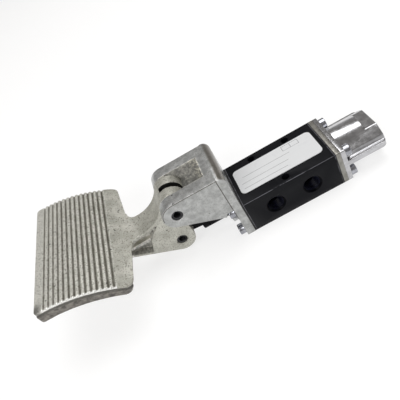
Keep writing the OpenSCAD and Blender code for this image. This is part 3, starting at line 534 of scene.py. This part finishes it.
# distance from the crown's axis = radius less a groove that is a smooth step of the arc's phase
def pressGrooves(mesh):
    flat = np.empty(len(mesh.vertices) * 3)
    mesh.vertices.foreach_get("co", flat)
    points = flat.reshape(-1, 3) / mm
    along, up = points[:, 0] - crown["x"], points[:, 2] - crown["z"]
    reach = np.hypot(along, up)
    phase = (crown["radius"] * np.arctan2(along, up) - crown["lead"]) / crown["pitch"]
    off = np.abs(phase - np.round(phase)) * crown["pitch"]
    t = np.clip((off - crown["floor"]) / (crown["shoulder"] - crown["floor"]), 0, 1)
    groove = crown["depth"] * (1 - t * t * (3 - 2 * t))
    old = crown["radius"] - reach
    across = np.abs(points[:, 1])
    rounded = np.where(across > crown["edge"] - crown["edgeRound"], old, 0)  # edges keep their round
    fresh = np.maximum(groove, rounded)
    top = (np.abs(old - crown["skinMiddle"]) < crown["skinHalf"]) & (phase > -0.5)
    top = top & (phase < crown["count"] - 0.5) & (across < crown["edge"] + crown["edgePast"])
    scale = np.where(top, (crown["radius"] - fresh) / reach, 1)
    points[:, 0] = crown["x"] + along * scale
    points[:, 2] = crown["z"] + up * scale
    mesh.vertices.foreach_set("co", (points * mm).ravel())
    mesh.update()


# even remesh, relaxed so that every edge gets a cast radius, shaped, then thinned
def casting(node, cast, shape):
    mesh, work = mergedCopy(node)
    work.to_mesh(mesh)
    work.free()
    done = settle(mesh, [("REMESH", {"mode": "VOXEL", "voxel_size": cast["voxel"]}),
                         ("SMOOTH", {"factor": cast["pull"], "iterations": cast["relax"]})])
    shape(done)
    done = settle(done, [("DECIMATE", {"ratio": cast["keep"]})])
    done.shade_smooth()
    return addPiece(node + "_casting", done, node)


def gridMesh(name, points):  # points (along, around, xyz), closed around
    along, around = points.shape[:2]
    mesh = bpy.data.meshes.new(name)
    row, col = np.meshgrid(np.arange(along - 1), np.arange(around), indexing="ij")
    turn = (col + 1) % around
    faces = np.stack([row * around + col, row * around + turn, (row + 1) * around + turn,
                      (row + 1) * around + col], -1)
    mesh.from_pydata(points.reshape(-1, 3), [], faces.reshape(-1, 4))
    work = bmesh.new()
    work.from_mesh(mesh)
    bmesh.ops.remove_doubles(work, verts=work.verts, dist=meshing["weldGrid"])
    bmesh.ops.recalc_face_normals(work, faces=work.faces)
    work.to_mesh(mesh)
    work.free()
    return mesh


# flats joined, another object added where there is one, sharp edges broken by a small bevel
def broken(node, edge, ending="_machined", added=None):
    mesh, work = mergedCopy(node)
    bmesh.ops.dissolve_limit(work, angle_limit=meshing["flat"], verts=work.verts, edges=work.edges)
    work.to_mesh(mesh)
    work.free()
    if added:
        mesh = settle(mesh, [("BOOLEAN", {"operation": "UNION", "object": added})])
    mesh.shade_smooth()
    bevel = {"width": edge["width"], "segments": edge["steps"], "limit_method": "ANGLE",
             "angle_limit": meshing["bevelled"], "use_clamp_overlap": False, "harden_normals": True}
    return addPiece(node + ending, settle(mesh, [("BEVEL", bevel)]), node)


# the cap's barrel, a little fuller than the solid's so that it runs into the flanks without a crease
barrel = {"radius": 13.98 * mm, "inner": 12.0 * mm, "start": 41.0 * mm, "end": 63.1 * mm,
          "axisZ": block["axisZ"] * mm, "around": 180}


# a tube along X: a circle carried out, along, in and back, so that the chamber stays open
def barrelPoints(b):
    angle = np.linspace(0, 2 * np.pi, b["around"], endpoint=False)[None, :]
    radius = np.array([b["inner"], b["radius"], b["radius"], b["inner"], b["inner"]])[:, None]
    along = np.array([b["start"], b["start"], b["end"], b["end"], b["start"]])[:, None] + 0 * angle
    return np.stack([along, radius * np.sin(angle), b["axisZ"] + radius * np.cos(angle)], -1)


casting("pedal", {"voxel": 0.4 * mm, "relax": 3, "pull": 0.5, "keep": 0.38}, pressGrooves)
broken("pedal_bracket", {"width": 0.28 * mm, "steps": 4}, "_casting")
fuller = bpy.data.objects.new("fuller", gridMesh("fuller", barrelPoints(barrel)))
bpy.context.scene.collection.objects.link(fuller)
broken("end_cap", {"width": 0.35 * mm, "steps": 4}, "_casting", fuller)
bpy.data.objects.remove(fuller)
castings = [ob for ob in bpy.data.objects if ob.name.endswith("_casting")]
print("castings done:", {ob.name: len(ob.data.polygons) for ob in castings})

# width of the broken edges of the machined pieces, in millimetres
machined = {"valve_body": 0.3, "spacer_plate": 0.3, "link_bar": 0.35, "spool": 0.3, "pivot_pin": 0.3,
            "link_pin_roll": 0.3}
for node, width in machined.items():
    broken(node, {"width": width * mm, "steps": 3})
print("machined pieces done")

# the return spring: a smooth-shaded copy of the solid, with a mesh of its own, carried by its body
springMesh, springWork = mergedCopy("return_spring")
springWork.to_mesh(springMesh)
springWork.free()
springMesh.shade_smooth()
spring = addPiece("return_spring_wound", springMesh, "return_spring")
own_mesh(spring)
print("spring done")

# ports of the block, in millimetres: x, side, radius of the mouth, radius of the thread
ports = [(-14.1, -1, 7.6, 5.9), (14.1, -1, 7.6, 5.9), (0.0, 1, 7.6, 5.9), (-25.0, 1, 6.4, 4.4),
         (25.0, 1, 6.4, 4.4)]
openingEnd = 22.42  # just short of the block's side faces

# the ports' walls get painted shade, a blacker finish: faces within the mouth's radius, from the middle to
# the end
bodyMesh = bpy.data.objects["valve_body_machined"].data
centres = np.empty(len(bodyMesh.polygons) * 3)
bodyMesh.polygons.foreach_get("center", centres)
centres = centres.reshape(-1, 3) / mm
within = np.zeros(len(centres), int)
for x, side, mouth, _ in ports:
    reach = np.hypot(centres[:, 0] - x, centres[:, 2] - block["axisZ"])
    sunk = np.abs(centres[:, 1] - side * openingEnd / 2) < openingEnd / 2
    within[(reach < mouth) & sunk] = 1
bodyMesh.materials.append(openingShade)
bodyMesh.polygons.foreach_set("material_index", within)
print("openings blackened:", int(within.sum()), "faces")

# screws: one surface, angle by station along the outline
screwHead = {"radius": 4.1 * mm, "height": 4.4 * mm, "shank": 2.4 * mm, "flats": 4.0 * mm,
             "socket": 2.6 * mm, "leadIn": 0.3 * mm, "round": 0.45 * mm, "knurls": 36,
             "knurlDepth": 0.05 * mm, "knurlTop": 0.25 * mm, "knurlEnd": 0.35 * mm, "foot": 0.2 * mm,
             "tip": 0.4 * mm, "around": 144, "turn": 0.4, "turnStep": 1.1}


def joined(name, grids):  # several grids as one mesh
    work = bmesh.new()
    for points in grids:
        work.from_mesh(gridMesh("grid", points))
    mesh = bpy.data.meshes.new(name)
    work.to_mesh(mesh)
    work.free()
    mesh.shade_smooth()
    mesh.set_sharp_from_angle(angle=meshing["sharp"])
    return mesh


# radius as a function of angle at each station, from the socket's floor to the shank's end
def screwPoints(length):
    s = screwHead
    angle = np.linspace(0, 2 * np.pi, s["around"], endpoint=False)
    hexagon = s["flats"] / 2 / np.cos((angle % (np.pi / 3)) - np.pi / 6)
    circle = np.ones_like(angle)
    knurl = s["radius"] - s["knurlDepth"] * (0.5 - 0.5 * np.cos(s["knurls"] * angle)) ** 2
    top, r = s["height"], s["radius"]
    corner = [(r - s["round"] * (1 - math.sin(a)), top - s["round"] * (1 - math.cos(a)))
              for a in np.linspace(0, math.pi / 2, 5)]
    stations = [(0 * circle, top - s["socket"]), (hexagon, top - s["socket"]),
                (hexagon, top - s["leadIn"]), (hexagon + s["leadIn"], top)]
    stations += [(x * circle, z) for x, z in corner]
    stations += [(knurl, top - s["round"] - s["knurlTop"]), (knurl, s["knurlEnd"]),
                 (r * circle, s["foot"]), ((r - s["foot"]) * circle, 0)]
    stations += [(s["shank"] * circle, 0), (s["shank"] * circle, s["tip"] - length),
                 ((s["shank"] - s["tip"]) * circle, -length), (0 * circle, -length)]
    radius = np.array([station[0] for station in stations])
    height = np.array([station[1] for station in stations])[:, None] + 0 * radius
    return np.stack([height, radius * np.cos(angle), radius * np.sin(angle)], -1)


def screwSet(node, out):  # four screws in the corners of the solid's box, heads facing along X by out
    low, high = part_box(node)
    reach = screwHead["radius"]
    seat = low.x + screwHead["height"] if out < 0 else high.x - screwHead["height"]
    length = (high.x - seat) if out < 0 else (seat - low.x)
    x, a, b = np.moveaxis(screwPoints(length), -1, 0)
    parts = []
    for y in (low.y + reach, high.y - reach):
        for z in (low.z + reach, high.z - reach):
            turn = screwHead["turn"] + screwHead["turnStep"] * len(parts)
            c, s = math.cos(turn), math.sin(turn)
            parts.append(np.stack([seat + out * x, y + a * c - b * s, z + out * (a * s + b * c)], -1))
    return addPiece(node + "_turned", joined(node, parts), node)


screwSet("bracket_screws", -1)
screwSet("cap_screws", 1)
print("screws done")

# threads in the ports: sleeves whose bore is the radius less a ridge that climbs one pitch per turn
thread = {"pitch": 1.4 * mm, "ridge": 0.6 * mm, "start": 1.3 * mm, "end": 9.7 * mm, "around": 72,
          "steps": 9, "axisZ": block["axisZ"] * mm, "face": block["half"][1] * mm, "gap": 0.03 * mm,
          "steep": 1.3, "root": 0.15}


def threadPoints(x, side, radius):
    t = thread
    rows = int((t["end"] - t["start"]) / t["pitch"] * t["steps"])
    depth, angle = np.meshgrid(np.linspace(t["start"], t["end"], rows),
                               np.linspace(0, 2 * np.pi, t["around"], endpoint=False), indexing="ij")
    ridge = np.abs(((depth / t["pitch"] - angle / (2 * np.pi)) % 1) * 2 - 1)
    r = radius * mm - t["gap"] - t["ridge"] * np.clip(ridge * t["steep"] - t["root"], 0, 1)
    wall = 0 * r[:1] + radius * mm - t["gap"] / 3
    r = np.vstack([wall, r, wall, wall])  # out to the wall at both ends and back along it
    depth = np.vstack([depth[:1], depth, depth[-1:], depth[:1]])
    angle = np.vstack([angle[:1], angle, angle[:2]])
    return np.stack([x * mm + r * np.cos(angle), side * (t["face"] - depth),
                     t["axisZ"] + r * np.sin(angle)], -1)


sleeves = [threadPoints(x, side, radius) for x, side, _, radius in ports]
threads = addPiece("port_threads", joined("port_threads", sleeves), "valve_body", False)
# the threads take the painted shade of the ports' insides
threads.data.materials[0] = threadShade
print("threads done")

# stage: floor, backdrop, lamps, camera; sizes in metres, and the glow fades over millimetres of height
stage = {"floorHalf": 3.0, "bounce": 0.88, "seenPaint": 0.34, "seenGlow": 0.68, "world": 0.29,
         "worldTint": (1.0, 0.965, 0.92)}
backdrop = {"inner": 2.0, "outer": 3.0, "height": 1.3, "around": 96, "rows": 24, "topGlow": 0.2,
            "fade": 260.0}


# pale where the camera or a reflection sees it, greyer higher up; for other light it is plain paint
def paleFinish(name, unseen):
    f = Finish(name)
    high = f.axes()[2].step(0.0, backdrop["fade"])
    glow = high.blend(rgb(*[stage["seenGlow"]] * 3), rgb(*[backdrop["topGlow"]] * 3))
    seen = 0.0
    for kind in ("Is Camera Ray", "Is Glossy Ray", "Is Transmission Ray"):
        seen = f.wire.node("LightPath", out=kind) + seen
    paper = seen.blend(rgb(*[stage["bounce"]] * 3), rgb(*[stage["seenPaint"]] * 3))
    return f.surface(Base_Color=paper, Roughness=1.0, Specular_IOR_Level=0.0,
                     Emission_Color=seen.blend(rgb(*unseen), glow), Emission_Strength=1.0)


def backdropPoints(b):  # a quarter of an ellipse carried round, level at the floor and upright at its end
    turn, angle = np.meshgrid(np.linspace(0, np.pi / 2, b["rows"]),
                              np.linspace(0, 2 * np.pi, b["around"], endpoint=False), indexing="ij")
    radius = b["inner"] + (b["outer"] - b["inner"]) * np.sin(turn)
    return np.stack([radius * np.cos(angle), radius * np.sin(angle), b["height"] * (1 - np.cos(turn))], -1)


floorMesh = bpy.data.meshes.new("floor")
half = stage["floorHalf"]
floorMesh.from_pydata([(-half, -half, 0), (half, -half, 0), (half, half, 0), (-half, half, 0)], [],
                      [(0, 1, 2, 3)])
floorMesh.materials.append(paleFinish("paleFloor", (0, 0, 0)))
sweepMesh = gridMesh("backdrop", backdropPoints(backdrop))
sweepMesh.materials.append(paleFinish("paleBackdrop", [stage["world"] * c for c in stage["worldTint"]]))
sweepMesh.shade_smooth()
for name, mesh in {"floor": floorMesh, "backdrop": sweepMesh}.items():
    ob = bpy.data.objects.new(name, mesh)
    bpy.context.scene.collection.objects.link(ob)

world = bpy.data.worlds.new("studio")
world.use_nodes = True
sky = world.node_tree.nodes["Background"]
sky.inputs["Color"].default_value = rgb(*stage["worldTint"])
sky.inputs["Strength"].default_value = stage["world"]
bpy.context.scene.world = world

lamps = {"key": {"place": (-0.6, -0.95, 0.85), "size": 0.8, "watts": 9.0},
         "top": {"place": (0.3, 0.27, 1.38), "size": 1.1, "watts": 13.0}}
middle = Vector((-0.045, 0.0, 0.03))
for name, lamp in lamps.items():
    light = bpy.data.lights.new(name, "AREA")
    light.shape, light.size, light.energy = "SQUARE", lamp["size"], lamp["watts"]
    ob = bpy.data.objects.new(name, light)
    ob.location = lamp["place"]
    ob.rotation_euler = (middle - Vector(lamp["place"])).to_track_quat("-Z", "Y").to_euler()
    bpy.context.scene.collection.objects.link(ob)

# the photo's camera: place, aim, lens and film in millimetres, roll in degrees, near limit in metres
view = {"place": (-24.4, -244.9, 245.7), "aim": (-63.62, 20.97, 14.3), "lens": 40.67, "shadePatch": 36.0,
        "roll": 34.57, "near": 0.01}
place, aim = Vector(view["place"]) * mm, Vector(view["aim"]) * mm
ahead = (aim - place).normalized()
level = ahead.cross(Vector((0, 0, 1))).normalized()
roll = math.radians(view["roll"])
up = level.cross(ahead) * math.cos(roll) + level * math.sin(roll)
right = ahead.cross(up)
lens = bpy.data.cameras.new("photoCamera")
lens.lens, lens.sensor_width, lens.clip_start = view["lens"], view["shadePatch"], view["near"]
camera = bpy.data.objects.new("photoCamera", lens)
camera.matrix_world = Matrix(((right.x, up.x, -ahead.x, place.x), (right.y, up.y, -ahead.y, place.y),
                              (right.z, up.z, -ahead.z, place.z), (0, 0, 0, 1)))
bpy.context.scene.collection.objects.link(camera)
bpy.context.scene.camera = camera
bpy.context.scene.view_settings.view_transform = "Standard"
print("stage set")
